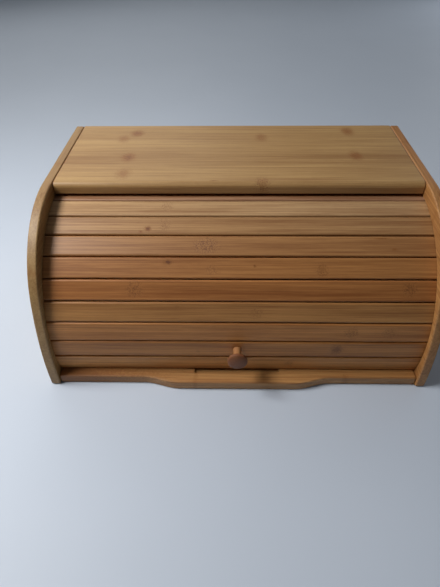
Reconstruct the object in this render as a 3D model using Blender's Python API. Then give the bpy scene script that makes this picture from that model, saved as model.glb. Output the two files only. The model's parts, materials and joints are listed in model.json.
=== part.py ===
"""Roll-top bread bin of bamboo: two shaped side panels, three boards between them and a rolling door.

The door is a row of flat slats glued side by side on cloth. Their ends run in a round groove that is cut
in the inner face of each side panel, so the whole door turns about the groove's centre: up, and back under
the top board.

Lengths are in metres. +Z is up, the front faces -Y and +X is to the right as seen from the front.
The origin lies on the table, under the middle of the bin's outline.
Angles round the groove's centre start straight up and grow towards the front.
"""

import math

import bmesh
import bpy

# Overall sizes
overall_width = 0.400
overall_height = 0.1735
panel_depth = 0.2656

# Side panels: a flat top, a round shoulder, then a wide arc that meets the table upright
panel_thickness = 0.010
shoulder_radius = 0.111
shoulder_turn = math.radians(67.6)
panel_edge_radius = 0.0018

# Boards between the panels
top_thickness = 0.0125
top_overhang = 0.0016
top_nose_radius = 0.0055
top_lower_radius = 0.0015
base_thickness = 0.011
base_setback = 0.0026
base_edge_radius = 0.0014
back_thickness = 0.008
back_inset = 0.0005

# The base board's lip, which swells forward in the middle
lip_reach = 0.005
lip_half_width = 0.0606
lip_curve_width = 0.0398

# The shallow relief in the base board under the door's lower edge
relief_half_width = 0.0453
relief_depth = 0.003
relief_front = 0.0036
relief_back = 0.012
relief_corner_radius = 0.003

# Clearances
joint_gap = 0.0003
running_clearance = 0.00035
lid_clearance = 0.002
dowel_clearance = 0.00015
cut_overrun = 0.001

# The door's slats and the groove that they run in
face_radius = 0.1219
door_setback = 0.0106
groove_depth = 0.005
slat_end_clearance = 0.0005
slat_thickness = 0.006
slat_width = 0.0207
bottom_slat_width = 0.0227
slat_spacing = 0.0003
slat_edge_radius = 0.0012
door_tuck = 0.012

# The cloth that the slats are glued to
cloth_thickness = 0.0008
cloth_side_margin = 0.006
cloth_end_margin = 0.003
cloth_hole_clearance = 0.001

# The turned knob and its screw
knob_length = 0.0195
knob_foot_radius = 0.0043
knob_neck_radius = 0.0039
knob_neck_height = 0.006
knob_head_radius = 0.010
knob_rim_height = 0.0148
knob_rim_radius = 0.0016
screw_radius = 0.0015
screw_reach = 0.011
screw_clearance = 0.00015
screw_head_radius = 0.0036
screw_head_height = 0.0021

# Dowels that join the boards to the panels
dowel_radius = 0.003
back_dowel_radius = 0.0025
dowel_in_panel = 0.006
dowel_in_board = 0.016
dowel_chamfer = 0.0006
top_dowel_shares = (0.24, 0.76)
base_dowel_shares = (0.2, 0.74)
back_dowel_shares = (0.2, 0.8)

# Facets, and the turns between faces that stay smooth or count as an edge
smooth_limit = math.radians(35)
sharp_edge_limit = math.radians(50)
shoulder_steps = 22
front_steps = 10
groove_steps = 44
corner_steps = 3
nose_steps = 5
lip_steps = 12
knob_steps = 32
flare_steps = 7
dome_steps = 6
round_steps = 16

# Places that follow from the sizes
half_width = overall_width / 2
inner_x = half_width - panel_thickness
board_x = inner_x - joint_gap
top_z = overall_height - top_thickness
corner_radius = math.hypot(face_radius, slat_width / 2)
bottom_corner_radius = math.hypot(face_radius, bottom_slat_width / 2)
inner_radius = face_radius - slat_thickness
groove_outer_radius = bottom_corner_radius + running_clearance
groove_inner_radius = inner_radius - running_clearance
track_z = top_z - lid_clearance - corner_radius


def half_turn(width):
    """The turn from a slat's middle to its edge, with its half of the space to the next slat."""
    return math.atan((width + slat_spacing) / 2 / inner_radius)


# How far the knob reaches in front of the panels settles where the middle of the whole depth lies
door_edge_angle = math.acos((base_thickness + joint_gap - track_z) / bottom_corner_radius)
bottom_slat_angle = door_edge_angle - math.atan(bottom_slat_width / 2 / face_radius)
knob_angle = bottom_slat_angle - half_turn(bottom_slat_width) - half_turn(slat_width)
knob_front_radius = face_radius + joint_gap + knob_length
knob_reach = knob_front_radius * math.sin(knob_angle) - corner_radius - door_setback
total_depth = panel_depth + max(lip_reach, knob_reach)
back_y = total_depth / 2
panel_front_y = back_y - panel_depth
track_y = panel_front_y + door_setback + corner_radius
front_radius = (overall_height - shoulder_radius * (1 - math.cos(shoulder_turn))) / math.cos(shoulder_turn)
shoulder_run = shoulder_radius * math.sin(shoulder_turn)
front_run = front_radius * (1 - math.sin(shoulder_turn))
flat_front_y = panel_front_y + shoulder_run + front_run
top_front_y = flat_front_y - top_overhang
back_board_y = back_y - back_inset - back_thickness

slat_half_length = inner_x + groove_depth - slat_end_clearance


def clear_scene():
    for found in list(bpy.data.objects):
        bpy.data.objects.remove(found, do_unlink=True)


def plain_finish(name, colour, roughness, metallic=0.0):
    material = bpy.data.materials.new(name)
    material.use_nodes = True
    shader = material.node_tree.nodes["Principled BSDF"]
    shader.inputs["Base Color"].default_value = (*colour, 1.0)
    shader.inputs["Roughness"].default_value = roughness
    shader.inputs["Metallic"].default_value = metallic
    return material


def add_object(name, mesh, material, parent=None):
    made = bpy.data.objects.new(name, mesh)
    bpy.context.scene.collection.objects.link(made)
    made.parent = parent
    if material and not mesh.materials:
        mesh.materials.append(material)
    return made


def finish_mesh(name, shape):
    """Turns a bmesh into a mesh with its faces out, smooth where it is round."""
    bmesh.ops.recalc_face_normals(shape, faces=shape.faces)
    mesh = bpy.data.meshes.new(name)
    shape.to_mesh(mesh)
    shape.free()
    mesh.shade_smooth()
    mesh.set_sharp_from_angle(angle=smooth_limit)
    return mesh


def prism(name, outline, low, high, axis="X"):
    """A closed solid: the outline, given in the plane across the axis, carried from low to high along it."""
    shape = bmesh.new()
    if axis == "X":
        ring = [shape.verts.new((low, first, second)) for first, second in outline]
        step = (high - low, 0, 0)
    else:
        ring = [shape.verts.new((first, second, low)) for first, second in outline]
        step = (0, 0, high - low)
    face = shape.faces.new(ring)
    grown = bmesh.ops.extrude_face_region(shape, geom=[face])["geom"]
    moved = [part for part in grown if isinstance(part, bmesh.types.BMVert)]
    bmesh.ops.translate(shape, verts=moved, vec=step)
    return finish_mesh(name, shape)


def turned(name, profile, steps):
    """A solid of revolution about local Z, from (radius, height) points that start and end on the axis."""
    shape = bmesh.new()
    points = [shape.verts.new((radius, 0, height)) for radius, height in profile]
    edges = [shape.edges.new(pair) for pair in zip(points, points[1:])]
    bmesh.ops.spin(
        shape,
        geom=points + edges,
        cent=(0, 0, 0),
        axis=(0, 0, 1),
        angle=math.tau,
        steps=steps,
        use_merge=True,
    )
    smallest = min(math.dist(*pair) for pair in zip(profile, profile[1:]))
    bmesh.ops.remove_doubles(shape, verts=shape.verts, dist=smallest / steps)
    return finish_mesh(name, shape)


def arc(centre, radius, start, end, steps):
    """Points on a circle, with angles from straight up towards -Y."""
    turns = [start + (end - start) * step / steps for step in range(steps + 1)]
    return [(centre[0] - radius * math.sin(turn), centre[1] + radius * math.cos(turn)) for turn in turns]


def rounded(corners, radii, steps):
    """A convex outline with each corner rounded by its own radius. A radius of zero leaves it sharp."""
    outline = []
    for index, (corner, radius) in enumerate(zip(corners, radii)):
        if not radius:
            outline.append(corner)
            continue
        before = corners[index - 1]
        after = corners[(index + 1) % len(corners)]
        inward = []
        for other in (before, after):
            reach = math.dist(corner, other)
            inward.append([(there - here) / reach for here, there in zip(corner, other)])
        opening = math.acos(sum(one * two for one, two in zip(*inward)))
        start = [here + along * radius / math.tan(opening / 2) for here, along in zip(corner, inward[0])]
        middle = [one + two for one, two in zip(*inward)]
        length = math.hypot(*middle)
        away = radius / math.sin(opening / 2)
        centre = [here + along / length * away for here, along in zip(corner, middle)]
        sweep = math.pi - opening
        spoke = (start[0] - centre[0], start[1] - centre[1])
        side = inward[0][0] * inward[1][1] - inward[0][1] * inward[1][0]
        turn = -sweep / steps if side > 0 else sweep / steps
        for step in range(steps + 1):
            cosine, sine = math.cos(turn * step), math.sin(turn * step)
            first = centre[0] + spoke[0] * cosine - spoke[1] * sine
            second = centre[1] + spoke[0] * sine + spoke[1] * cosine
            outline.append((first, second))
    return outline


def round_rim(made, width, segments=2):
    """Rounds every sharp edge of a finished piece."""
    bevel = made.modifiers.new("rounded edges", "BEVEL")
    bevel.width = width
    bevel.segments = segments
    bevel.limit_method = "ANGLE"
    bevel.angle_limit = sharp_edge_limit


def cut(made, mesh, name, location=(0, 0, 0), rotation=(0, 0, 0), parent=None):
    """Cuts a hidden solid out of a piece."""
    cutter = add_object(name, mesh, None, parent)
    cutter.location = location
    cutter.rotation_euler = rotation
    cutter.hide_render = True
    cutter.display_type = "WIRE"
    boolean = made.modifiers.new(name, "BOOLEAN")
    boolean.object = cutter
    boolean.operation = "DIFFERENCE"
    return cutter


def bar(name, radius, length, chamfer=0.0):
    """A round bar along X from 0 to its length, with its ends eased."""
    ends = [(0, 0), (radius - chamfer, 0), (radius, chamfer), (radius, length - chamfer)]
    ends += [(radius - chamfer, length), (0, length)]
    if not chamfer:
        ends = [(0, 0), (radius, 0), (radius, length), (0, length)]
    mesh = turned(name, ends, round_steps)
    for vertex in mesh.vertices:
        across, along, up = vertex.co
        vertex.co = (up, along, -across)
    return mesh


def slat_angles():
    """The middle of each slat, from the bottom one up to the one that stays hidden under the top board."""
    angles = [bottom_slat_angle, knob_angle]
    tuck_y = top_front_y + door_tuck
    while True:
        angles.append(angles[-1] - 2 * half_turn(slat_width))
        upper_edge = angles[-1] - math.atan(slat_width / 2 / face_radius)
        if track_y - corner_radius * math.sin(upper_edge) > tuck_y:
            return angles


def groove_end_angles(angles):
    """Where the groove starts at the front, just under the door, and where it ends by the back board."""
    lower = angles[0] + math.atan(bottom_slat_width / 2 / inner_radius)
    front = lower + running_clearance / inner_radius
    reach = (back_board_y - track_y) / groove_outer_radius
    return front, -math.asin(min(reach, 1.0))


def panel_outline():
    """The side panel seen from its side, from the back lower corner round to the front lower corner."""
    shoulder = (flat_front_y, overall_height - shoulder_radius)
    outline = [(back_y, 0.0), (back_y, overall_height)]
    outline += arc(shoulder, shoulder_radius, 0.0, shoulder_turn, shoulder_steps)
    front = (panel_front_y + front_radius, 0.0)
    outline += arc(front, front_radius, shoulder_turn, math.pi / 2, front_steps)[1:]
    return outline


def make_side_panel(name, side, groove, material):
    """One side panel. Its inner face carries the groove for the slats' ends."""
    low, high = sorted((side * inner_x, side * half_width))
    panel = add_object(name, prism(name, panel_outline(), low, high), material)
    round_rim(panel, panel_edge_radius)
    centre = (track_y, track_z)
    front, rear = groove
    outline = arc(centre, groove_outer_radius, front, rear, groove_steps)
    outline += arc(centre, groove_inner_radius, rear, front, groove_steps)
    low, high = sorted((side * (inner_x - cut_overrun), side * (inner_x + groove_depth)))
    cut(panel, prism(name + "_groove", outline, low, high), name + "_groove")
    return panel


def make_top_board(material):
    corners = [(back_y, top_z), (back_y, overall_height), (top_front_y, overall_height), (top_front_y, top_z)]
    outline = rounded(corners, (0, 0, top_nose_radius, top_lower_radius), nose_steps)
    return add_object("top_board", prism("top_board", outline, -board_x, board_x), material)


def make_back_board(material):
    low, high = base_thickness + joint_gap, top_z - joint_gap
    rear = back_y - back_inset
    corners = [(rear, low), (rear, high), (back_board_y, high), (back_board_y, low)]
    return add_object("back_board", prism("back_board", corners, -board_x, board_x), material)


def lip_curve():
    """The front edge in plan, from the middle's straight part out to the plain part, as one smooth S."""
    plain_y = panel_front_y + base_setback
    lip_y = panel_front_y - lip_reach
    points = []
    for step in range(lip_steps + 1):
        share = step / lip_steps
        rise = (1 - math.cos(math.pi * share)) / 2
        points.append((lip_half_width + lip_curve_width * share, lip_y + (plain_y - lip_y) * rise))
    return points


def make_base_board(material):
    """The bottom board, with its lip in front and a shallow relief under the door's lower edge."""
    curve = lip_curve()
    plain_y = curve[-1][1]
    right = [(board_x, back_y), (board_x, plain_y)] + curve[::-1]
    outline = right + [(-x, y) for x, y in right[::-1]]
    mesh = prism("base_board", outline, 0.0, base_thickness, axis="Z")
    board = add_object("base_board", mesh, material)
    weights = mesh.attributes.new("bevel_weight_edge", "FLOAT", "EDGE")
    for edge in mesh.edges:
        ends = [mesh.vertices[index].co for index in edge.vertices]
        level = ends[0].z == ends[1].z
        in_front = all(end.y < track_y for end in ends)
        crosswise = ends[0].x != ends[1].x
        weights.data[edge.index].value = 1.0 if level and in_front and crosswise else 0.0
    bevel = board.modifiers.new("rounded front", "BEVEL")
    bevel.width = base_edge_radius
    bevel.segments = 2
    bevel.limit_method = "WEIGHT"
    front = track_y - face_radius - relief_front
    rear = track_y - face_radius + relief_back
    corners = [(relief_half_width, rear), (relief_half_width, front)]
    corners += [(-relief_half_width, front), (-relief_half_width, rear)]
    plan = rounded(corners, [relief_corner_radius] * len(corners), corner_steps)
    relief = prism("base_relief", plan, base_thickness - relief_depth, base_thickness + cut_overrun, axis="Z")
    cut(board, relief, "base_relief")
    return board


def slat_mesh(name, width):
    """A slat as it lies at the top of its round: flat, with its two outer long edges rounded."""
    half = width / 2
    corners = [(half, inner_radius), (half, face_radius), (-half, face_radius), (-half, inner_radius)]
    outline = rounded(corners, (0, slat_edge_radius, slat_edge_radius, 0), corner_steps)
    return prism(name, outline, -slat_half_length, slat_half_length)


def make_slats(angles, door, material):
    shared = slat_mesh("slat", slat_width)
    slats = []
    names = ["bottom_slat", "knob_slat"]
    names += [f"slat_{index + 1}" for index in range(2, len(angles) - 1)]
    names.append("lead_slat")
    for name, angle in zip(names, angles):
        mesh = slat_mesh(name, bottom_slat_width) if name == "bottom_slat" else shared
        slat = add_object(name, mesh, material, door)
        slat.rotation_euler.x = angle
        slats.append(slat)
    return slats


def cloth_outline(angles):
    """The cloth's section about the groove's centre: flat on each slat, bent where two of them meet."""
    outer = inner_radius - joint_gap
    sides = []
    for distance in (outer, outer - cloth_thickness):
        points = []
        ends = ((angles[0], bottom_slat_width, 1), (angles[-1], slat_width, -1))
        first, last = [
            (
                -distance * math.sin(angle) - side * (width / 2 - cloth_end_margin) * math.cos(angle),
                distance * math.cos(angle) - side * (width / 2 - cloth_end_margin) * math.sin(angle),
            )
            for angle, width, side in ends
        ]
        points.append(first)
        for lower, upper in zip(angles, angles[1:]):
            middle = (lower + upper) / 2
            reach = distance / math.cos((lower - upper) / 2)
            points.append((-reach * math.sin(middle), reach * math.cos(middle)))
        points.append(last)
        sides.append(points)
    return sides[0] + sides[1][::-1]


def make_cloth(angles, door, material):
    half = inner_x - cloth_side_margin
    mesh = prism("cloth_backing", cloth_outline(angles), -half, half)
    return add_object("cloth_backing", mesh, material, door)


def knob_profile():
    """The knob's outline, from the blind hole in its foot round neck and head to the middle of its face."""
    hole_radius = screw_radius + screw_clearance
    hole_depth = screw_reach + joint_gap
    profile = [(0, hole_depth), (hole_radius, hole_depth), (hole_radius, 0), (knob_foot_radius, 0)]
    for step in range(1, corner_steps + 1):
        share = step / corner_steps
        narrowing = (1 - math.cos(math.pi * share)) / 2
        radius = knob_foot_radius + (knob_neck_radius - knob_foot_radius) * narrowing
        profile.append((radius, knob_neck_height * share))
    flare_height = knob_rim_height - knob_neck_height
    for step in range(1, flare_steps + 1):
        share = step / flare_steps
        widening = (1 - math.cos(math.pi * share / 2)) * share
        radius = knob_neck_radius + (knob_head_radius - knob_neck_radius) * widening
        profile.append((radius, knob_neck_height + flare_height * share))
    profile.append((knob_head_radius, knob_rim_height + knob_rim_radius))
    dome_height = knob_length - knob_rim_height - knob_rim_radius
    for step in range(1, dome_steps + 1):
        turn = math.pi / 2 * step / dome_steps
        height = knob_rim_height + knob_rim_radius + dome_height * math.sin(turn)
        profile.append((knob_head_radius * math.cos(turn) if step < dome_steps else 0, height))
    return profile


def screw_profile():
    """A pan-head screw, from the middle of its head along to its tip."""
    top = -slat_thickness - joint_gap - screw_head_height
    seat = -slat_thickness - joint_gap
    tip = joint_gap + screw_reach
    shoulder = screw_head_height / 2
    return [
        (0, top),
        (screw_head_radius - shoulder, top),
        (screw_head_radius, top + shoulder),
        (screw_head_radius, seat),
        (screw_radius, seat),
        (screw_radius, tip - screw_radius),
        (0, tip),
    ]


def make_knob(angle, door, slat, cloth, wood_finish, steel):
    """The knob on the second slat, the screw that holds it from inside, and the holes for the screw."""
    knob = add_object("pull_knob", turned("pull_knob", knob_profile(), knob_steps), wood_finish, door)
    screw = add_object("knob_screw", turned("knob_screw", screw_profile(), round_steps), steel, door)
    for piece, height in ((knob, face_radius + joint_gap), (screw, face_radius)):
        piece.rotation_euler.x = angle
        piece.location = (0, -height * math.sin(angle), height * math.cos(angle))
    through = slat_thickness + joint_gap + cloth_thickness + cut_overrun
    for piece, name, radius in (
        (slat, "knob_slat_hole", screw_radius + screw_clearance),
        (cloth, "cloth_hole", screw_head_radius + cloth_hole_clearance),
    ):
        profile = [(0, -through), (radius, -through), (radius, cut_overrun), (0, cut_overrun)]
        place = (0, -face_radius * math.sin(angle), face_radius * math.cos(angle))
        cut(piece, turned(name, profile, round_steps), name, place, (angle, 0, 0), door)


def dowel_places():
    """Each dowel's name, board, radius and place on the joint between board and panel."""
    top_depth = back_y - top_front_y
    base_depth = back_y - panel_front_y
    back_height = top_z - base_thickness
    places = []
    for share, end in zip(top_dowel_shares, ("rear", "front")):
        middle = top_z + top_thickness / 2
        places.append((f"top_{end}", "top_board", dowel_radius, back_y - top_depth * share, middle))
    for share, end in zip(base_dowel_shares, ("rear", "front")):
        along = back_y - base_depth * share
        places.append((f"base_{end}", "base_board", dowel_radius, along, base_thickness / 2))
    for share, end in zip(back_dowel_shares, ("lower", "upper")):
        middle = back_y - back_inset - back_thickness / 2
        height = base_thickness + back_height * share
        places.append((f"back_{end}", "back_board", back_dowel_radius, middle, height))
    return places


def make_dowels(panels, boards, material):
    """A dowel at each joint, and a blind hole for it in the panel and in the board's end."""
    length = dowel_in_panel + dowel_in_board - joint_gap - joint_gap
    hole_length = dowel_in_panel + dowel_in_board
    for place, board, radius, y, z in dowel_places():
        for side_name, side in (("left", -1), ("right", 1)):
            name = f"dowel_{place}_{side_name}"
            low = side * inner_x - (dowel_in_board if side > 0 else dowel_in_panel)
            dowel = add_object(name, bar(name, radius, length, dowel_chamfer), material)
            dowel.location = (low + joint_gap, y, z)
            for piece in (panels[side], boards[board]):
                hole = bar(name + "_hole", radius + dowel_clearance, hole_length)
                cut(piece, hole, f"{name}_{piece.name}", (low, y, z))


def build():
    clear_scene()
    panel_wood = plain_finish("panel_bamboo", (0.47, 0.30, 0.165), 0.45)
    board_wood = plain_finish("board_bamboo", (0.50, 0.32, 0.17), 0.42)
    slat_wood = plain_finish("slat_bamboo", (0.44, 0.265, 0.125), 0.45)
    knob_wood = plain_finish("knob_wood", (0.50, 0.31, 0.15), 0.40)
    dowel_wood = plain_finish("dowel_wood", (0.55, 0.42, 0.27), 0.60)
    canvas = plain_finish("backing_cloth", (0.10, 0.085, 0.07), 0.90)
    steel = plain_finish("screw_steel", (0.62, 0.62, 0.60), 0.35, 1.0)

    angles = slat_angles()
    groove = groove_end_angles(angles)
    panels = {
        -1: make_side_panel("left_panel", -1, groove, panel_wood),
        1: make_side_panel("right_panel", 1, groove, panel_wood),
    }
    boards = {
        "top_board": make_top_board(board_wood),
        "base_board": make_base_board(board_wood),
        "back_board": make_back_board(board_wood),
    }
    make_dowels(panels, boards, dowel_wood)

    door = bpy.data.objects.new("door_axis", None)
    bpy.context.scene.collection.objects.link(door)
    door.location = (0, track_y, track_z)
    slats = make_slats(angles, door, slat_wood)
    cloth = make_cloth(angles, door, canvas)
    make_knob(angles[1], door, slats[1], cloth, knob_wood, steel)

    print("slats", len(slats), "angles", [round(math.degrees(angle), 2) for angle in angles])
    print("groove from", round(math.degrees(groove[0]), 2), "to", round(math.degrees(groove[1]), 2))


build()
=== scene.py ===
"""Looks of a roll-top bread bin in bamboo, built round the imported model.

Lengths are in metres, in the model's own frame: +Z is up, the front faces -Y and +X is to the right.
A slat is built about the middle of the round groove, as if it lay at the groove's top, and the knob and
its screw are built about local Z. Each is then turned to its place.
"""

import json
import math
import random

import bmesh
import bpy
from mathutils import Matrix, Vector


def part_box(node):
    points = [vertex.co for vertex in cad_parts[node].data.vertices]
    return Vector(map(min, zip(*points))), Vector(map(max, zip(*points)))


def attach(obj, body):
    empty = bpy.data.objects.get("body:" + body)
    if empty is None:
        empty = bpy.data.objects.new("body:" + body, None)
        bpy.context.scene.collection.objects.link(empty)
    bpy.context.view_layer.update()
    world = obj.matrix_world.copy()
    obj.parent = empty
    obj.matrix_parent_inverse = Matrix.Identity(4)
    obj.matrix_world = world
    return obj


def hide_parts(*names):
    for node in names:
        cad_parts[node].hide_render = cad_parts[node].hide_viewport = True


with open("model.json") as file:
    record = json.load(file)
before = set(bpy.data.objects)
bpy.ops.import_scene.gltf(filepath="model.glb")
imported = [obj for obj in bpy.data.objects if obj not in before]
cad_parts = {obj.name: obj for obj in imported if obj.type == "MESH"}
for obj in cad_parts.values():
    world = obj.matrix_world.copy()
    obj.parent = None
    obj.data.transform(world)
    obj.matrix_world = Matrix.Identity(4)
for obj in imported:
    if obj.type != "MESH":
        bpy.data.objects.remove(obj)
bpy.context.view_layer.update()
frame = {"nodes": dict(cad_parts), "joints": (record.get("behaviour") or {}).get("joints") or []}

# The side panels' outline
shoulder_radius = 0.111
shoulder_turn = math.radians(67.6)
panel_edge_radius = 0.0018

# The boards' edges, the lip and the relief in the base board
top_nose_radius = 0.0055
top_lower_radius = 0.0015
board_edge_radius = 0.0009
base_edge_radius = 0.0014
back_edge_radius = 0.0008
lip_half_width = 0.0606
lip_curve_width = 0.0398
lip_setback = 0.0076
relief_half_width = 0.0453
relief_depth = 0.003
relief_front = 0.0036
relief_back = 0.012
relief_corner_radius = 0.003

# The groove and what runs in it. A slat's long edges bow by a share of slat_bow, in so many waves
running_clearance = 0.00035
groove_depth = 0.005
slat_edge_radius = 0.0018
slat_back_radius = 0.0003
slat_bow = 0.00012
slat_bow_waves = (0.6, 1.5)
slat_bow_shares = (0.4, 1.0)
dowel_clearance = 0.00015
cut_overrun = 0.001
cloth_cut_overrun = 0.003
cloth_end_margin = 0.003
cloth_thickness = 0.0008
cloth_hole_radius = 0.0046
joint_gap = 0.0003

# The knob and its screw
knob_foot_radius = 0.0043
knob_neck_radius = 0.0039
knob_neck_height = 0.006
knob_head_radius = 0.010
knob_rim_height = 0.0148
knob_rim_radius = 0.0016
knob_length = 0.0195
knob_hole_radius = 0.00165
knob_hole_depth = 0.0113
screw_radius = 0.0015
screw_reach = 0.011
screw_head_radius = 0.0036
screw_head_height = 0.0021
screw_crown_share = 0.6
recess_half_width = 0.0005
recess_half_length = 0.0021
recess_depth = 0.0012

# Fineness of the meshes
merge_distance = 0.000002
shoulder_steps = 72
front_steps = 36
groove_steps = 120
edge_segments = 5
board_edge_segments = 3
edge_angle = math.radians(50)
smooth_angle = math.radians(38)
nose_steps = 10
lip_steps = 36
slat_stations = 25
slat_edge_steps = 6
round_steps = 32
knob_steps = 96
neck_steps = 10
flare_steps = 20
rim_steps = 8
dome_steps = 14
crown_steps = 8
cloth_columns = 60
cloth_slat_steps = 4

# Lengths in a material are in millimetres, apart from the depth of its relief, which is in metres
mm = 1000.0

# The browns of the marks, the glue lines and the end grain, which fades in over a length. The marks' browns
# also fill the patches of painted shade, and on the knob's face the end grain's brown is partly painted shade
joint_and_shade_brown = (0.27, 0.098, 0.018, 1.0)
fleck_and_shade_brown = (0.16, 0.050, 0.014, 1.0)
glue_brown = (0.13, 0.055, 0.02, 1.0)
end_grain_and_shade_brown = (0.15, 0.034, 0.008, 1.0)
end_grain_fade = 1.6
end_grain_and_shade_share = 0.75

# Bamboo's grain sways across its length. Sizes are along the grain, across it and through it
sway_sizes = (120, 16, 16)
sway_reach = 1.4
plain_detail = 1.0

# Each layer of the wood's tone: its sizes, its seed, its detail and its weight
tone_layers = {
    "broad": ((190, 8, 8), 3, 1.5, 0.9),
    "band": ((120, 2.3, 2.3), 7, 1.0, 1.25),
    "streak": ((60, 0.75, 0.75), 9, 2.0, 1.2),
    "fibre": ((13, 0.30, 0.30), 11, 2.0, 0.7),
}

# Short dark bundles and long dark lines: sizes, seed, where they fade in, their share and their brown
dark_fibres = (
    ((8, 0.38, 0.38), 17, (0.62, 0.74), 0.22, (0.15, 0.062, 0.022, 1.0)),
    ((75, 0.55, 0.55), 31, (0.62, 0.72), 0.45, (0.17, 0.060, 0.017, 1.0)),
)

# The glue line between two strips: how far from it the brown starts and is full
glue_start = 0.22
glue_full = 0.04
glue_share = 0.22

# A plain joint across a strip: its random place, its bend and how far from its middle it fades
knot_place_seed = 41
knot_bend_seed = 5
knot_bend_sizes = (5, 4, 4)
knot_bend = 5.0
knot_fade = (4.0, 0.3)
knot_share = 0.35

# A listed mark: a ragged patch, dark in its core, in a wider zone of curled fibres with dark flecks.
# Both fade between two distances from the mark's middle, as shares of its half size
ragged_sizes = (2.2, 1.3, 1.3)
ragged_seed = 23
ragged_reach = 1.3
curl_sizes = (2.0, 2.6, 2.6)
curl_seed = 29
curl_width = 0.06
mark_detail = 2.0
mark_rough = 0.6
patch_fade_shares = (1.25, 0.15)
zone_fade_shares = (1.5, 0.5)
zone_pale_share = 0.35
core_power = 6.0
fleck_sink = 0.8

# The lacquer, and how deep the grain is felt
lacquer_roughness = 0.50
roughness_swing = 0.14
coat_weight = 0.12
coat_roughness = 0.42
grain_depth = 0.00006

# The canvas: threads, thick places in them, and its dark and light tones
thread_pitch = 0.7
slub_sizes = (14, 0.8, 30)
slub_seed = 2.0
slub_detail = 2.0
slub_share = 0.6
thread_share = 0.55
canvas_fade = (0.1, 0.95)
canvas_tones = ((0.035, 0.028, 0.022, 1.0), (0.13, 0.105, 0.08, 1.0))
canvas_roughness = 0.92
sheen_weight = 0.25
sheen_roughness = 0.5
thread_depth = 0.00012

# The screw's plating, with faint marks of turning
turning_sizes = (0.5, 0.5, 0.12)
turning_seed = 4.0
turning_detail = 3.0
steel_tones = ((0.50, 0.50, 0.47, 1.0), (0.70, 0.70, 0.68, 1.0))
steel_roughness = 0.22
steel_roughness_swing = 0.25
turning_depth = 0.00003

# Each wood's pale and deep tone
slat_tones = ((0.50, 0.262, 0.095), (0.27, 0.112, 0.032))
top_tones = ((0.49, 0.300, 0.116), (0.30, 0.152, 0.049))
board_tones = ((0.58, 0.308, 0.106), (0.325, 0.137, 0.040))
panel_tones = {
    "left": ((0.43, 0.270, 0.104), (0.25, 0.124, 0.040)),
    "right": ((0.56, 0.280, 0.090), (0.31, 0.125, 0.034)),
}
knob_tones = ((0.50, 0.24, 0.085), (0.34, 0.14, 0.045))
dowel_tones = ((0.62, 0.47, 0.31), (0.48, 0.34, 0.20))
knob_roughness = 0.62
dowel_roughness = 0.6

# Each slat's tint of the slats' tones, matched slat by slat to the light on the door, so each is partly the
# slat's own tone and partly painted light: the paler, bluer upper slats and lead slat carry a painted sheen
slat_tints_and_painted_light = {
    "bottom_slat": (1.46, 1.34, 1.14),
    "knob_slat": (1.16, 0.94, 0.60),
    "slat_3": (1.20, 1.00, 0.74),
    "slat_4": (1.10, 1.02, 0.86),
    "slat_5": (1.02, 0.80, 0.60),
    "slat_6": (1.07, 0.92, 0.75),
    "slat_7": (0.94, 0.86, 0.78),
    "slat_8": (1.02, 1.10, 1.22),
    "slat_9": (1.15, 1.38, 1.85),
    "lead_slat": (0.94, 1.02, 1.60),
}

# Widths of the glued strips, where the boards' strips start, and how much the strips' tones differ
narrow_strip = 5.2
wide_strip = 20.5
top_strip_start = -7.0
base_strip_start = -134.0
slat_strip_share = 0.28
board_strip_share = 0.30
top_strip_share = 0.42
plain_strip_share = 0.1

# How far apart the plain joints lie
base_knots = 310.0
back_knots = 290.0
panel_knots = 260.0

# Where each piece's pattern starts
top_seed = 2.0
slat_seed = 3.0
slat_seed_step = 11.7
knob_seed = 13.0
base_seed = 31.0
back_seed = 57.0
panel_seed = 71.0
panel_seed_step = 19
dowel_seed = 91.0

# Listed marks: place along and across the grain, half length, half width, darkness, curl
slat_marks_and_painted_shade = {
    # The lead slat's long band under the lid's lip is painted shade, not a mark in the wood.
    "lead_slat": [(0, -1.8, 900.0, 2.8, 0.90, 0.0)],
    "slat_9": [(-72, 1.0, 6.0, 6.5, 0.12, 0.55)],
    "slat_8": [
        (-89, -3.6, 4.0, 3.6, 1.0, 0.3), (-96, -7.0, 2.6, 2.0, 0.9, 0.2), (-73, 1.5, 6.0, 7.0, 0.12, 0.60),
    ],
    "slat_7": [
        (-31, 0.5, 12.0, 8.0, 0.12, 0.95), (140, 8.0, 9.0, 0.8, 0.9, 0.0), (151, -3.0, 3.5, 1.4, 0.7, 0.0),
    ],
    "slat_6": [
        (-68, 6.0, 5.4, 3.4, 1.0, 0.2), (-25, -2.0, 6.0, 5.0, 0.08, 0.6), (81, -2.0, 6.0, 7.0, 0.40, 0.7),
        (16, 2.6, 1.8, 1.5, 1.0, 0.0),
    ],
    "slat_5": [(-100, 1.0, 8.0, 7.5, 0.30, 0.95), (165, 2.0, 7.0, 6.5, 0.35, 0.9)],
    "slat_4": [(18, 0.0, 6.0, 7.0, 0.15, 0.50), (-60, 6.0, 3.0, 2.0, 0.30, 0.3)],
    "slat_3": [(113, 0.4, 7.0, 6.5, 0.30, 0.6), (151, 0.0, 7.0, 6.0, 0.25, 0.5)],
    "knob_slat": [(101, 0.5, 7.0, 7.5, 0.85, 0.4), (-40, -3.0, 2.4, 2.0, 0.3, 0.2)],
    "bottom_slat": [(55, 2.0, 5.0, 6.0, 0.30, 0.4)],
}
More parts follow.
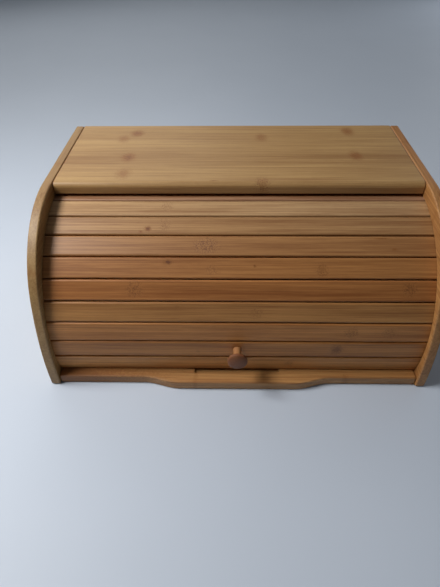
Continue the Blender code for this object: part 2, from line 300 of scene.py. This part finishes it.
top_marks_and_painted_shade = [
    (-120, 114, 9.0, 11.0, 0.85, 0.3), (-134, 99, 8.0, 11.0, 0.55, 0.2), (-120.5, 51, 9.0, 12.0, 0.90, 0.3),
    (-120, 14, 9.0, 12.0, 0.55, 0.3), (29, 102, 8.0, 12.0, 0.60, 0.3), (134, 119, 8.5, 12.0, 0.75, 0.3),
    # The last mark on the next line, a long band along the front rounding, is painted shade.
    (131, 54, 8.5, 12.0, 0.78, 0.4), (25, -3, 7.5, 9.0, 0.45, 0.8), (0, -8.5, 800.0, 6.5, 0.20, 0.0),
    (-24, -1.5, 5.0, 0.7, 1.0, 0.0),
]
base_marks_and_painted_shadow = [
    # The last mark, a wide soft patch over the left end, is the painted shadow of the left panel.
    (115, -125, 4.0, 4.5, 0.45, 0.2), (-98, -124, 5.0, 5.0, 0.35, 0.2), (-180, -124, 110.0, 60.0, 0.85, 0.0),
]

# The stage: floor, daylight and camera. A lamp is its name, place, width and height, power and colour
floor_size = 9.0
floor_drop = 0.0003
floor_roughness = 0.55
cloud_sizes = (160, 160, 160)
cloud_seed = 1.0
cloud_detail = 3.0
floor_tones = ((0.60, 0.675, 0.785, 1.0), (0.635, 0.71, 0.82, 1.0))
room_colour = (0.86, 0.93, 1.0, 1.0)
room_strength = 0.035
lamp_target = (0.0, -0.03, 0.06)
lamps = (
    ("window", (-0.62, -0.12, 0.78), (0.40, 0.26), 7.3, (1.0, 0.98, 0.96)),
    ("rear_glow", (-0.8, 1.5, 1.15), (1.8, 1.0), 7.0, (1.0, 0.97, 0.92)),
    ("ceiling", (0.0, 0.8, 3.0), (5.0, 5.0), 16.0, (0.92, 0.96, 1.0)),
    ("low_fill", (1.5, 1.5, 0.35), (1.2, 0.6), 4.0, (0.95, 0.97, 1.0)),
)
camera_place = (-0.0099, -0.4164, 0.4013)
camera_turns = (42.83, -1.35, 0.69)
focal_pixels = 450.0
picture_height = 587.0
sensor_size = 36.0
clip_near = 0.01

track = Vector(frame["joints"][0]["pos_m"])
slat_names = ["bottom_slat", "knob_slat"] + [f"slat_{number}" for number in range(3, 10)] + ["lead_slat"]


def about_track(node):
    """A door node's turn about the groove's centre, and its corners as it would lie at the round's top."""
    places = [vertex.co.copy() for vertex in frame["nodes"][node].data.vertices]
    middle = sum(places, Vector()) / len(places) - track
    angle = math.atan2(-middle.y, middle.z)
    back = Matrix.Rotation(-angle, 3, "X")
    flat = [back @ (place - track) for place in places]
    low = Vector([min(place[axis] for place in flat) for axis in range(3)])
    high = Vector([max(place[axis] for place in flat) for axis in range(3)])
    return angle, low, high


slats = {name: about_track(name) for name in slat_names}
cloth_radius = slats["lead_slat"][1].z - joint_gap


def put_mesh(name, shape):
    """Turns a bmesh into an object, with its faces out."""
    bmesh.ops.recalc_face_normals(shape, faces=shape.faces)
    mesh = bpy.data.meshes.new(name)
    shape.to_mesh(mesh)
    shape.free()
    made = bpy.data.objects.new(name, mesh)
    bpy.context.scene.collection.objects.link(made)
    return made


def prism(name, outline, low, high, axis="X"):
    """A closed solid: the outline, given across the axis, carried from low to high along it."""
    shape = bmesh.new()
    if axis == "X":
        ring = [shape.verts.new((low, first, second)) for first, second in outline]
        step = (high - low, 0, 0)
    else:
        ring = [shape.verts.new((first, second, low)) for first, second in outline]
        step = (0, 0, high - low)
    face = shape.faces.new(ring)
    grown = bmesh.ops.extrude_face_region(shape, geom=[face])["geom"]
    moved = [part for part in grown if isinstance(part, bmesh.types.BMVert)]
    bmesh.ops.translate(shape, verts=moved, vec=step)
    return put_mesh(name, shape)


def turned(name, profile, steps):
    """A solid of revolution about local Z. The profile's (radius, height) points start and end on it."""
    shape = bmesh.new()
    rings = []
    for radius, height in profile:
        if radius == 0:
            rings.append([shape.verts.new((0, 0, height))])
            continue
        turns = [math.tau * step / steps for step in range(steps)]
        places = [(radius * math.cos(turn), radius * math.sin(turn), height) for turn in turns]
        rings.append([shape.verts.new(place) for place in places])
    for first, second in zip(rings, rings[1:]):
        for step in range(steps):
            after = (step + 1) % steps
            if len(first) == 1:
                shape.faces.new((first[0], second[step], second[after]))
            elif len(second) == 1:
                shape.faces.new((first[step], first[after], second[0]))
            else:
                shape.faces.new((first[step], first[after], second[after], second[step]))
    return put_mesh(name, shape)


def rod(name, radius, low, high):
    """A plain round cutter about local Z."""
    return turned(name, [(0, low), (radius, low), (radius, high), (0, high)], round_steps)


def arc(centre, radius, start, end, steps):
    """Points on a circle, with angles from straight up towards -Y."""
    turns = [start + (end - start) * step / steps for step in range(steps + 1)]
    return [(centre[0] - radius * math.sin(turn), centre[1] + radius * math.cos(turn)) for turn in turns]


def rounded_box(low, high, radii, steps):
    """A rectangle's outline with its corners rounded, from the lower left corner on against the clock."""
    corners = ((low[0], low[1], 180), (high[0], low[1], 270), (high[0], high[1], 0), (low[0], high[1], 90))
    outline = []
    for (first, second, start), radius in zip(corners, radii):
        if radius == 0:
            outline.append((first, second))
            continue
        centre = (
            first + (radius if first == low[0] else -radius),
            second + (radius if second == low[1] else -radius),
        )
        for step in range(steps + 1):
            turn = math.radians(start + 90 * step / steps)
            outline.append((centre[0] + radius * math.cos(turn), centre[1] + radius * math.sin(turn)))
    return outline


def round_edges(made, width, segments=edge_segments):
    """Rounds the edges where two faces meet at more than edge_angle."""
    bevel = made.modifiers.new("rounded edges", "BEVEL")
    bevel.width = width
    bevel.segments = segments
    bevel.limit_method = "ANGLE"
    bevel.angle_limit = edge_angle


def settle(made, cutters=(), crossed=False):
    """Applies a piece's modifiers and cuts, removes its cutters and shades it smooth where it is round.

    Points that a cut has left on top of each other are merged, so that the surface stays closed. A crossed
    cutter is one whose own parts overlap.
    """
    for cutter in cutters:
        boolean = made.modifiers.new("cut", "BOOLEAN")
        boolean.object = cutter
        boolean.operation = "DIFFERENCE"
        boolean.use_self = crossed
    graph = bpy.context.evaluated_depsgraph_get()
    mesh = bpy.data.meshes.new_from_object(made.evaluated_get(graph))
    mesh.name = made.name
    shape = bmesh.new()
    shape.from_mesh(mesh)
    bmesh.ops.remove_doubles(shape, verts=shape.verts, dist=merge_distance)
    bmesh.ops.dissolve_degenerate(shape, edges=shape.edges, dist=merge_distance)
    shape.to_mesh(mesh)
    shape.free()
    made.modifiers.clear()
    made.data = mesh
    for cutter in cutters:
        bpy.data.objects.remove(cutter, do_unlink=True)
    mesh.shade_smooth()
    mesh.set_sharp_from_angle(angle=smooth_angle)
    weighted = made.modifiers.new("even shading", "WEIGHTED_NORMAL")
    weighted.keep_sharp = True
    return made


def place_piece(made, node, body, material):
    """Gives a piece its finish, and lets it stand for its CAD node on that node's body."""
    made.data.materials.clear()
    made.data.materials.append(material)
    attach(made, body)
    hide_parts(node)


def dowel_bores(names, low_x, high_x):
    """One cutter with a bore for each of these dowels, from low_x to high_x."""
    shape = bmesh.new()
    turn = Matrix.Rotation(math.pi / 2, 4, "Y")
    for name in names:
        low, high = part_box(name)
        start, end = max(low.x - joint_gap, low_x), min(high.x + joint_gap, high_x)
        middle = (low + high) / 2
        radius = (high.z - low.z) / 2 + dowel_clearance
        bmesh.ops.create_cone(
            shape,
            cap_ends=True,
            segments=round_steps,
            radius1=radius,
            radius2=radius,
            depth=end - start,
            matrix=Matrix.Translation(((start + end) / 2, middle.y, middle.z)) @ turn,
        )
    return put_mesh("bores", shape)


class Finish:
    """One procedural material. Its methods add nodes, and most give back the new node's output."""

    def __init__(self, name):
        self.material = bpy.data.materials.new(name)
        self.material.use_nodes = True
        self.tree = self.material.node_tree
        self.shader = self.tree.nodes["Principled BSDF"]

    def feed(self, socket, value):
        """Links another node's output to the socket, or sets a plain value on it."""
        if isinstance(value, bpy.types.NodeSocket):
            self.tree.links.new(value, socket)
        elif value is not None:
            socket.default_value = value

    def math(self, operation, first, second=None, third=None):
        node = self.tree.nodes.new("ShaderNodeMath")
        node.operation = operation
        for socket, value in zip(node.inputs, (first, second, third)):
            self.feed(socket, value)
        return node.outputs[0]

    def centred(self, value):
        """A value between 0 and 1, moved to lie about 0."""
        return self.math("SUBTRACT", value, 0.5)

    def blend(self, share, first, second):
        """A mix of two colours, which a Mix node takes as its inputs 6 and 7."""
        node = self.tree.nodes.new("ShaderNodeMix")
        node.data_type = "RGBA"
        self.feed(node.inputs[0], share)
        self.feed(node.inputs[6], first)
        self.feed(node.inputs[7], second)
        return node.outputs[2]

    def range(self, value, low, high, new_low=0.0, new_high=1.0):
        """Goes smoothly from new_low to new_high as the value goes from low to high."""
        node = self.tree.nodes.new("ShaderNodeMapRange")
        node.interpolation_type = "SMOOTHSTEP"
        for socket, given in zip(node.inputs, (value, low, high, new_low, new_high)):
            self.feed(socket, given)
        return node.outputs[0]

    def place(self):
        """Where the shaded point lies in the piece's own axes, as three lengths in millimetres."""
        coordinates = self.tree.nodes.new("ShaderNodeTexCoord")
        split = self.tree.nodes.new("ShaderNodeSeparateXYZ")
        self.tree.links.new(coordinates.outputs["Object"], split.inputs[0])
        return [self.math("MULTIPLY", split.outputs[axis], mm) for axis in range(3)]

    def vector(self, lengths, sizes, seed=0.0):
        """A texture place: each length over the pattern's size that way."""
        node = self.tree.nodes.new("ShaderNodeCombineXYZ")
        for socket, length, size in zip(node.inputs, lengths, sizes):
            self.feed(socket, self.math("MULTIPLY_ADD", length, 1 / size, seed))
        return node.outputs[0]

    def noise(self, lengths, sizes, seed=0.0, detail=2.0, rough=0.5):
        node = self.tree.nodes.new("ShaderNodeTexNoise")
        self.feed(node.inputs["Vector"], self.vector(lengths, sizes, seed))
        node.inputs["Scale"].default_value = 1.0
        node.inputs["Detail"].default_value = detail
        node.inputs["Roughness"].default_value = rough
        return node.outputs[0]

    def chance(self, value, seed=0.0):
        """A steady random number for each whole value."""
        node = self.tree.nodes.new("ShaderNodeTexWhiteNoise")
        node.noise_dimensions = "1D"
        self.feed(node.inputs["W"], self.math("ADD", value, seed))
        return node.outputs[0]

    def relief(self, height, depth):
        """Bump of that depth in metres, where the height goes from 0 to 1."""
        node = self.tree.nodes.new("ShaderNodeBump")
        node.inputs["Strength"].default_value = 1.0
        node.inputs["Distance"].default_value = depth
        self.feed(node.inputs["Height"], height)
        self.feed(self.shader.inputs["Normal"], node.outputs[0])

    def set(self, **values):
        """Feeds the shader's inputs, each named with _ for a space."""
        for name, value in values.items():
            self.feed(self.shader.inputs[name.replace("_", " ")], value)


def bamboo(
    name, tones, seed, strip, strip_share,
    along="X", start=0.0, marks=(), knots=0.0, ends=None, roughness=lacquer_roughness,
):
    """Lacquered bamboo: glued strips, long fibres, short darker bundles and the marks of the stalk's joints.

    tones are its pale and its deep one, and strip is the width of the glued strips, whose tones differ by
    strip_share. marks lists the given ones, some of them painted shade, and knots is how far apart the plain
    joints lie. ends is the piece's middle along the grain, and how far from there the darker end grain
    starts;
    on the knob's face that darkening is partly painted shade.
    """
    finish = Finish(name)
    pale, deep = ((*tone, 1.0) for tone in tones)
    x, y, z = finish.place()
    if along == "Y":
        x, y, z = y, z, x
    sway = finish.centred(finish.noise((x, y, z), sway_sizes, seed, plain_detail))
    swayed = (x, finish.math("MULTIPLY_ADD", sway, sway_reach, y), z)

    strips = finish.math("DIVIDE", finish.math("SUBTRACT", y, start), strip)
    index = finish.math("FLOOR", strips)
    own = finish.centred(finish.chance(index, seed))
    side = finish.math("ABSOLUTE", finish.centred(finish.math("FRACT", strips)))
    glue = finish.range(side, 0.5 - glue_start / strip, 0.5 - glue_full / strip)

    tone = finish.math("MULTIPLY_ADD", own, strip_share, 0.5)
    layers = {}
    for layer, (sizes, layer_seed, detail, weight) in tone_layers.items():
        layers[layer] = finish.noise(swayed, sizes, seed + layer_seed, detail)
        tone = finish.math("MULTIPLY_ADD", finish.centred(layers[layer]), weight, tone)
    tone = finish.math("MINIMUM", finish.math("MAXIMUM", tone, 0.0), 1.0)
    colour = finish.blend(tone, deep, pale)
    for sizes, fibre_seed, fade, share, brown in dark_fibres:
        fibres = finish.range(finish.noise(swayed, sizes, seed + fibre_seed, plain_detail), *fade)
        colour = finish.blend(finish.math("MULTIPLY", fibres, share), colour, brown)
    colour = finish.blend(finish.math("MULTIPLY", glue, glue_share), colour, glue_brown)

    streak, fibre = layers["streak"], layers["fibre"]
    height = finish.math("MULTIPLY_ADD", fibre, 0.5, finish.math("MULTIPLY", streak, 0.5))
    if knots:
        colour = plain_joints(finish, colour, (x, y, z), index, seed, knots)
    if marks:
        colour, height = add_marks_and_painted_shade(finish, colour, height, (x, y, z), seed, marks, pale)
    # The darker end grain, which on the knob's face is partly painted shade.
    if ends:
        reach = finish.math("ABSOLUTE", finish.math("SUBTRACT", x, ends[0]))
        end_grain_and_painted_shade = finish.range(reach, ends[1], ends[1] + end_grain_fade)
        colour = finish.blend(finish.math("MULTIPLY", end_grain_and_painted_shade, end_grain_and_shade_share), colour, end_grain_and_shade_brown)
    rough = finish.math("MULTIPLY_ADD", streak, roughness_swing, roughness - roughness_swing / 2)
    finish.set(Base_Color=colour, Roughness=rough, Coat_Weight=coat_weight, Coat_Roughness=coat_roughness)
    finish.relief(height, grain_depth)
    return finish.material


def plain_joints(finish, colour, place, index, seed, knots):
    """Darkens a bent line across each strip at every joint of its stalk."""
    shift = finish.math("MULTIPLY", finish.chance(index, seed + knot_place_seed), knots)
    bend = finish.noise(place, knot_bend_sizes, seed + knot_bend_seed, plain_detail)
    bend = finish.math("MULTIPLY_ADD", bend, knot_bend, -knot_bend / 2)
    turns = finish.math("FRACT", finish.math("DIVIDE", finish.math("ADD", place[0], shift), knots))
    away = finish.math("ABSOLUTE", finish.centred(turns))
    joint = finish.range(finish.math("MULTIPLY_ADD", away, knots, bend), *knot_fade)
    return finish.blend(finish.math("MULTIPLY", joint, knot_share), colour, joint_and_shade_brown)


def add_marks_and_painted_shade(finish, colour, height, place, seed, marks, pale):
    """Adds the listed marks to the colour and to the height of the grain."""
    ragged = finish.centred(finish.noise(place, ragged_sizes, seed + ragged_seed, mark_detail, mark_rough))
    curls = finish.noise(place, curl_sizes, seed + curl_seed, mark_detail, mark_rough)
    flecks = finish.range(finish.math("ABSOLUTE", finish.centred(curls)), curl_width, 0.0)
    patch, zone = 0.0, 0.0
    for mark_x, mark_y, half_length, half_width, darkness, curl in marks:
        off_x = finish.math("DIVIDE", finish.math("SUBTRACT", place[0], mark_x), half_length)
        off_y = finish.math("DIVIDE", finish.math("SUBTRACT", place[1], mark_y), half_width)
        squares = finish.math("MULTIPLY_ADD", off_x, off_x, finish.math("MULTIPLY", off_y, off_y))
        reach = finish.math("MULTIPLY_ADD", ragged, ragged_reach, finish.math("SQRT", squares))
        patch = finish.math("MAXIMUM", patch, finish.range(reach, *patch_fade_shares, 0.0, darkness))
        zone = finish.math("MAXIMUM", zone, finish.range(reach, *zone_fade_shares, 0.0, curl))
    colour = finish.blend(finish.math("MULTIPLY", zone, zone_pale_share), colour, pale)
    # Where a listed mark stands for shade, this dark core and patch are painted shade.
    core = finish.blend(finish.math("POWER", patch, core_power), joint_and_shade_brown, fleck_and_shade_brown)
    colour = finish.blend(patch, colour, core)
    colour = finish.blend(finish.math("MULTIPLY", zone, flecks), colour, fleck_and_shade_brown)
    height = finish.math("MULTIPLY_ADD", zone, finish.math("MULTIPLY", flecks, -fleck_sink), height)
    return colour, height


def canvas(name):
    """Plain woven canvas, with its threads over and under each other."""
    finish = Finish(name)
    x, y, z = finish.place()
    forward = finish.math("SUBTRACT", track.y * mm, y)
    angle = finish.math("ARCTAN2", forward, finish.math("SUBTRACT", z, track.z * mm))
    length = finish.math("MULTIPLY", angle, cloth_radius * mm)
    warp = finish.math("SINE", finish.math("MULTIPLY", x, math.pi / thread_pitch))
    weft = finish.math("SINE", finish.math("MULTIPLY", length, math.pi / thread_pitch))
    thread = finish.math("ABSOLUTE", finish.math("MULTIPLY", warp, weft))
    slub = finish.noise((x, length, z), slub_sizes, slub_seed, slub_detail)
    lit = finish.math("MULTIPLY_ADD", slub, slub_share, finish.math("MULTIPLY", thread, thread_share))
    colour = finish.blend(finish.range(lit, *canvas_fade), *canvas_tones)
    finish.set(Base_Color=colour, Roughness=canvas_roughness)
    finish.set(Sheen_Weight=sheen_weight, Sheen_Roughness=sheen_roughness)
    finish.relief(thread, thread_depth)
    return finish.material


def plated_steel(name):
    """Zinc-plated steel with faint marks of turning."""
    finish = Finish(name)
    rings = finish.noise(finish.place(), turning_sizes, turning_seed, turning_detail)
    rough = finish.math("MULTIPLY_ADD", rings, steel_roughness_swing, steel_roughness)
    finish.set(Base_Color=finish.blend(rings, *steel_tones), Roughness=rough, Metallic=1.0)
    finish.relief(rings, turning_depth)
    return finish.material


def panel_outline(low, high):
    """The side panel seen from its side, from the back lower corner round to the front lower corner."""
    front_radius = (high.z - shoulder_radius * (1 - math.cos(shoulder_turn))) / math.cos(shoulder_turn)
    shoulder_reach = shoulder_radius * math.sin(shoulder_turn)
    flat_front = low.y + shoulder_reach + front_radius * (1 - math.sin(shoulder_turn))
    shoulder_centre = (flat_front, high.z - shoulder_radius)
    front_centre = (low.y + front_radius, low.z)
    outline = [(high.y, low.z), (high.y, high.z)]
    outline += arc(shoulder_centre, shoulder_radius, 0.0, shoulder_turn, shoulder_steps)
    outline += arc(front_centre, front_radius, shoulder_turn, math.pi / 2, front_steps)[1:]
    return outline


def groove_outline():
    """The round groove seen from its side, from the door's lower edge round to the back board."""
    angle, low, high = slats["bottom_slat"]
    outer = math.hypot(high.z, high.y) + running_clearance
    inner = low.z - running_clearance
    front = angle + math.atan(high.y / low.z) + running_clearance / inner
    rear = -math.asin(min((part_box("back_board")[0].y - track.y) / outer, 1.0))
    centre = (track.y, track.z)
    return arc(centre, outer, front, rear, groove_steps) + arc(centre, inner, rear, front, groove_steps)


def make_panel(side_name, side, material):
    """One side panel, with the round groove for the slats' ends in its inner face."""
    node = side_name + "_panel"
    low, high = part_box(node)
    panel = prism("side_panel_" + side_name, panel_outline(low, high), low.x, high.x)
    round_edges(panel, panel_edge_radius)
    inner_x, outer_x = (low.x, high.x) if side > 0 else (high.x, low.x)
    start_x = inner_x - side * cut_overrun
    groove = prism("groove", groove_outline(), *sorted((start_x, inner_x + side * groove_depth)))
    dowels = [name for name in frame["nodes"] if name.startswith("dowel") and name.endswith(side_name)]
    settle(panel, (groove, dowel_bores(dowels, *sorted((start_x, outer_x)))))
    place_piece(panel, node, "case", material)


def board_bores(kind, low, high):
    """The bores in both ends of a board, for its dowels."""
    dowels = [name for name in frame["nodes"] if name.startswith("dowel_" + kind)]
    return dowel_bores(dowels, low.x - cut_overrun, high.x + cut_overrun)


def make_top_board(material):
    """The top board, with the wide rounding of its front edge that the door runs under."""
    low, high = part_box("top_board")
    radii = (top_lower_radius, board_edge_radius, board_edge_radius, top_nose_radius)
    outline = rounded_box((low.y, low.z), (high.y, high.z), radii, nose_steps)
    board = prism("lid_board", outline, low.x, high.x)
    round_edges(board, board_edge_radius, board_edge_segments)
    settle(board, (board_bores("top", low, high),))
    place_piece(board, "top_board", "case", material)


def make_back_board(material):
    """The plain board that closes the back."""
    low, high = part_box("back_board")
    outline = [(low.y, low.z), (high.y, low.z), (high.y, high.z), (low.y, high.z)]
    board = prism("rear_board", outline, low.x, high.x)
    round_edges(board, back_edge_radius, board_edge_segments)
    settle(board, (board_bores("back", low, high),))
    place_piece(board, "back_board", "case", material)


def make_base_board(material):
    """The bottom board, with a lip that swells forward and a relief under the door's lower edge."""
    low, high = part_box("base_board")
    curve = []
    for step in range(lip_steps + 1):
        share = step / lip_steps
        rise = (1 - math.cos(math.pi * share)) / 2
        curve.append((lip_half_width + lip_curve_width * share, low.y + lip_setback * rise))
    right = [(high.x, high.y), (high.x, curve[-1][1])] + curve[::-1]
    outline = right + [(-x, y) for x, y in right[::-1]]
    board = prism("bottom_board", outline, low.z, high.z, axis="Z")
    round_edges(board, base_edge_radius)
    face = slats["bottom_slat"][2].z
    front, rear = track.y - face - relief_front, track.y - face + relief_back
    radii = [relief_corner_radius] * 4
    plan = rounded_box((-relief_half_width, front), (relief_half_width, rear), radii, nose_steps)
    relief = prism("relief", plan, high.z - relief_depth, high.z + cut_overrun, axis="Z")
    settle(board, (relief, board_bores("base", low, high)))
    place_piece(board, "base_board", "case", material)


def slat_section(low, high):
    """A slat's section across its length: flat, with round outer edges and just-broken inner ones."""
    radii = (slat_back_radius, slat_back_radius, slat_edge_radius, slat_edge_radius)
    return rounded_box((low.y, low.z), (high.y, high.z), radii, slat_edge_steps)


def make_slat(node, material, bore=False):
    """One slat. Its long edges wander by a tenth of a millimetre, as sawn bamboo does."""
    angle, low, high = slats[node]
    draws = random.Random(node)
    phase = draws.uniform(0, math.tau)
    waves = draws.uniform(*slat_bow_waves)
    share = draws.uniform(*slat_bow_shares)
    section = slat_section(low, high)
    shape = bmesh.new()
    rings = []
    for station in range(slat_stations):
        along = station / (slat_stations - 1)
        shift = slat_bow * share * math.sin(phase + math.tau * waves * along)
        x = low.x + (high.x - low.x) * along
        rings.append([shape.verts.new((x, across + shift, up)) for across, up in section])
    for first, second in zip(rings, rings[1:]):
        for step in range(len(section)):
            after = (step + 1) % len(section)
            shape.faces.new((first[step], first[after], second[after], second[step]))
    shape.faces.new(rings[0])
    shape.faces.new(rings[-1])
    slat = put_mesh("door_" + node, shape)
    if bore:
        settle(slat, (rod("bore", knob_hole_radius, low.z - cut_overrun, high.z + cut_overrun),))
    else:
        settle(slat)
    slat.location = track
    slat.rotation_euler.x = angle
    place_piece(slat, node, "door", material)


def knob_outline():
    """The knob's outline from the blind hole in its foot, by its neck and head, to the middle of its face."""
    profile = [(0, knob_hole_depth), (knob_hole_radius, knob_hole_depth), (knob_hole_radius, 0)]
    profile += [(knob_foot_radius, 0)]
    for step in range(1, neck_steps + 1):
        share = step / neck_steps
        narrowing = (1 - math.cos(math.pi * share)) / 2
        radius = knob_foot_radius + (knob_neck_radius - knob_foot_radius) * narrowing
        profile.append((radius, knob_neck_height * share))
    for step in range(1, flare_steps + 1):
        share = step / flare_steps
        widening = (1 - math.cos(math.pi * share / 2)) * share
        radius = knob_neck_radius + (knob_head_radius - knob_neck_radius) * widening
        profile.append((radius, knob_neck_height + (knob_rim_height - knob_neck_height) * share))
    for step in range(1, rim_steps):
        profile.append((knob_head_radius, knob_rim_height + knob_rim_radius * step / rim_steps))
    dome_base = knob_rim_height + knob_rim_radius
    for step in range(dome_steps + 1):
        turn = math.pi / 2 * step / dome_steps
        radius = knob_head_radius * math.cos(turn) if step < dome_steps else 0
        profile.append((radius, dome_base + (knob_length - dome_base) * math.sin(turn)))
    return profile


def on_door(made, angle, height):
    """Turns a piece that was made about local Z to its place on the slat at that angle."""
    place = track + Vector((0, -height * math.sin(angle), height * math.cos(angle)))
    made.data.transform(Matrix.Translation(place) @ Matrix.Rotation(angle, 4, "X"))


def make_knob(material):
    """The turned knob, standing on the second slat from the bottom."""
    angle, low, high = slats["knob_slat"]
    knob = settle(turned("knob", knob_outline(), knob_steps))
    on_door(knob, angle, high.z + joint_gap)
    place_piece(knob, "pull_knob", "door", material)


def make_screw(material):
    """The pan-head screw from inside, with a cross recess in its head."""
    angle, low, high = slats["knob_slat"]
    top = low.z - high.z - joint_gap - screw_head_height
    seat = top + screw_head_height
    tip = joint_gap + screw_reach
    crown = screw_head_height * screw_crown_share
    profile = [(0, top)]
    for step in range(1, crown_steps + 1):
        turn = math.pi / 2 * step / crown_steps
        profile.append((screw_head_radius * math.sin(turn), top + crown * (1 - math.cos(turn))))
    profile += [(screw_head_radius, seat), (screw_radius, seat), (screw_radius, tip - screw_radius), (0, tip)]
    screw = turned("screw", profile, round_steps)
    shape = bmesh.new()
    sizes = Matrix.Diagonal((recess_half_length * 2, recess_half_width * 2, recess_depth * 2, 1))
    for turn in (0, math.pi / 2):
        matrix = Matrix.Translation((0, 0, top)) @ Matrix.Rotation(turn, 4, "Z") @ sizes
        bmesh.ops.create_cube(shape, size=1.0, matrix=matrix)
    settle(screw, (put_mesh("cross", shape),), crossed=True)
    on_door(screw, angle, high.z)
    place_piece(screw, "knob_screw", "door", material)


def make_cloth(material):
    """The cloth on the slats' backs: flat behind each slat, bent where two of them meet."""
    low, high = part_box("cloth_backing")
    ordered = [slats[name] for name in slat_names]
    last = len(ordered) - 1
    path = []
    for index, (angle, _, slat_high) in enumerate(ordered):
        end_reach = slat_high.y - cloth_end_margin
        start, end = -end_reach, end_reach
        if index > 0:
            start = -cloth_radius * math.tan((ordered[index - 1][0] - angle) / 2)
        if index < last:
            end = cloth_radius * math.tan((angle - ordered[index + 1][0]) / 2)
        middle = Vector((-cloth_radius * math.sin(angle), cloth_radius * math.cos(angle)))
        along = Vector((math.cos(angle), math.sin(angle)))
        for step in range(0 if index == 0 else 1, cloth_slat_steps + 1):
            path.append(middle + along * (start + (end - start) * step / cloth_slat_steps))
    shape = bmesh.new()
    rows = []
    for point in path:
        widths = [low.x + (high.x - low.x) * column / cloth_columns for column in range(cloth_columns + 1)]
        rows.append([shape.verts.new((x, track.y + point.x, track.z + point.y)) for x in widths])
    for first, second in zip(rows, rows[1:]):
        for column in range(cloth_columns):
            shape.faces.new((first[column], first[column + 1], second[column + 1], second[column]))
    cloth = put_mesh("backing_canvas", shape)
    faces_slats = cloth.data.polygons[0].normal.dot(Vector((0.0, *path[0]))) > 0
    thick = cloth.modifiers.new("thickness", "SOLIDIFY")
    thick.thickness = cloth_thickness
    thick.offset = -1.0 if faces_slats else 1.0
    hole = rod("cloth_hole", cloth_hole_radius, -cloth_cut_overrun, cloth_cut_overrun)
    on_door(hole, slats["knob_slat"][0], cloth_radius)
    settle(cloth, (hole,))
    place_piece(cloth, "cloth_backing", "door", material)


def slat_finish(name, number):
    """A slat's bamboo: the slats' tones with its tint, partly painted light and sheen, its pattern and its
    marks.
    """
    tones = [tuple(value * tint for value, tint in zip(tone, slat_tints_and_painted_light[name])) for tone in slat_tones]
    seed = slat_seed + slat_seed_step * number
    marks = slat_marks_and_painted_shade.get(name, ())
    return bamboo("bamboo_" + name, tones, seed, narrow_strip, slat_strip_share, marks=marks)


def build_case():
    make_top_board(bamboo(
        "bamboo_top", top_tones, top_seed, wide_strip, top_strip_share,
        start=top_strip_start, marks=top_marks_and_painted_shade, ends=(0.0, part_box("top_board")[1].x * mm - end_grain_fade),
    ))
    make_base_board(bamboo(
        "bamboo_base", board_tones, base_seed, wide_strip, board_strip_share,
        start=base_strip_start, marks=base_marks_and_painted_shadow, knots=base_knots,
    ))
    make_back_board(bamboo(
        "bamboo_back", board_tones, back_seed, wide_strip, board_strip_share, knots=back_knots,
    ))
    for number, (side_name, side) in enumerate((("left", -1), ("right", 1))):
        seed = panel_seed + panel_seed_step * number
        make_panel(side_name, side, bamboo(
            "bamboo_panel_" + side_name, panel_tones[side_name], seed, wide_strip, board_strip_share,
            along="Y", knots=panel_knots,
        ))
    dowel = bamboo(
        "beech_dowel", dowel_tones, dowel_seed, wide_strip, plain_strip_share, roughness=dowel_roughness,
    )
    for name, node in frame["nodes"].items():
        if name.startswith("dowel"):
            node.data.materials.clear()
            node.data.materials.append(dowel)


def build_door():
    for number, name in enumerate(slat_names):
        make_slat(name, slat_finish(name, number), bore=name == "knob_slat")
    knob_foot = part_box("pull_knob")[1].y * mm
    # The knob's face is darkened as end grain, partly painted shade.
    make_knob(bamboo(
        "turned_knob", knob_tones, knob_seed, narrow_strip, plain_strip_share,
        along="Y", ends=(knob_foot, knob_rim_height * mm - end_grain_fade), roughness=knob_roughness,
    ))
    make_screw(plated_steel("zinc_steel"))
    make_cloth(canvas("canvas_weave"))


def make_stage():
    """A plain pale floor, and soft daylight from the left."""
    shape = bmesh.new()
    bmesh.ops.create_grid(shape, x_segments=1, y_segments=1, size=floor_size / 2)
    floor = put_mesh("floor", shape)
    floor.location.z = -floor_drop
    finish = Finish("pale_floor")
    cloud = finish.noise(finish.place(), cloud_sizes, cloud_seed, cloud_detail)
    finish.set(Base_Color=finish.blend(cloud, *floor_tones), Roughness=floor_roughness)
    floor.data.materials.append(finish.material)

    world = bpy.context.scene.world or bpy.data.worlds.new("soft_room")
    bpy.context.scene.world = world
    world.use_nodes = True
    shade = world.node_tree.nodes["Background"]
    shade.inputs["Color"].default_value = room_colour
    shade.inputs["Strength"].default_value = room_strength

    for name, place, size, power, colour in lamps:
        light = bpy.data.lights.new(name, "AREA")
        light.shape = "RECTANGLE"
        light.size, light.size_y = size
        light.energy = power
        light.color = colour
        lamp = bpy.data.objects.new(name, light)
        bpy.context.scene.collection.objects.link(lamp)
        lamp.location = place
        lamp.rotation_mode = "QUATERNION"
        lamp.rotation_quaternion = (Vector(place) - Vector(lamp_target)).to_track_quat("Z", "Y")
        lamp.visible_camera = False


def make_camera():
    """The photograph's camera: its place, its turns and a lens whose focal length is given in pixels."""
    pitch, yaw, roll = (math.radians(turn) for turn in camera_turns)
    forward = Vector((math.sin(yaw) * math.cos(pitch), math.cos(yaw) * math.cos(pitch), -math.sin(pitch)))
    level = Vector((math.cos(yaw), -math.sin(yaw), 0.0))
    down = forward.cross(level)
    right = level * math.cos(roll) + down * math.sin(roll)
    up = level * math.sin(roll) - down * math.cos(roll)
    data = bpy.data.cameras.new("camera")
    data.sensor_width = sensor_size
    data.lens = focal_pixels / picture_height * sensor_size
    data.clip_start = clip_near
    camera = bpy.data.objects.new("camera", data)
    bpy.context.scene.collection.objects.link(camera)
    camera.matrix_world = Matrix((right, up, -forward)).transposed().to_4x4()
    camera.location = camera_place
    bpy.context.scene.camera = camera


bpy.context.scene.view_settings.view_transform = "Standard"
build_case()
build_door()
make_stage()
make_camera()
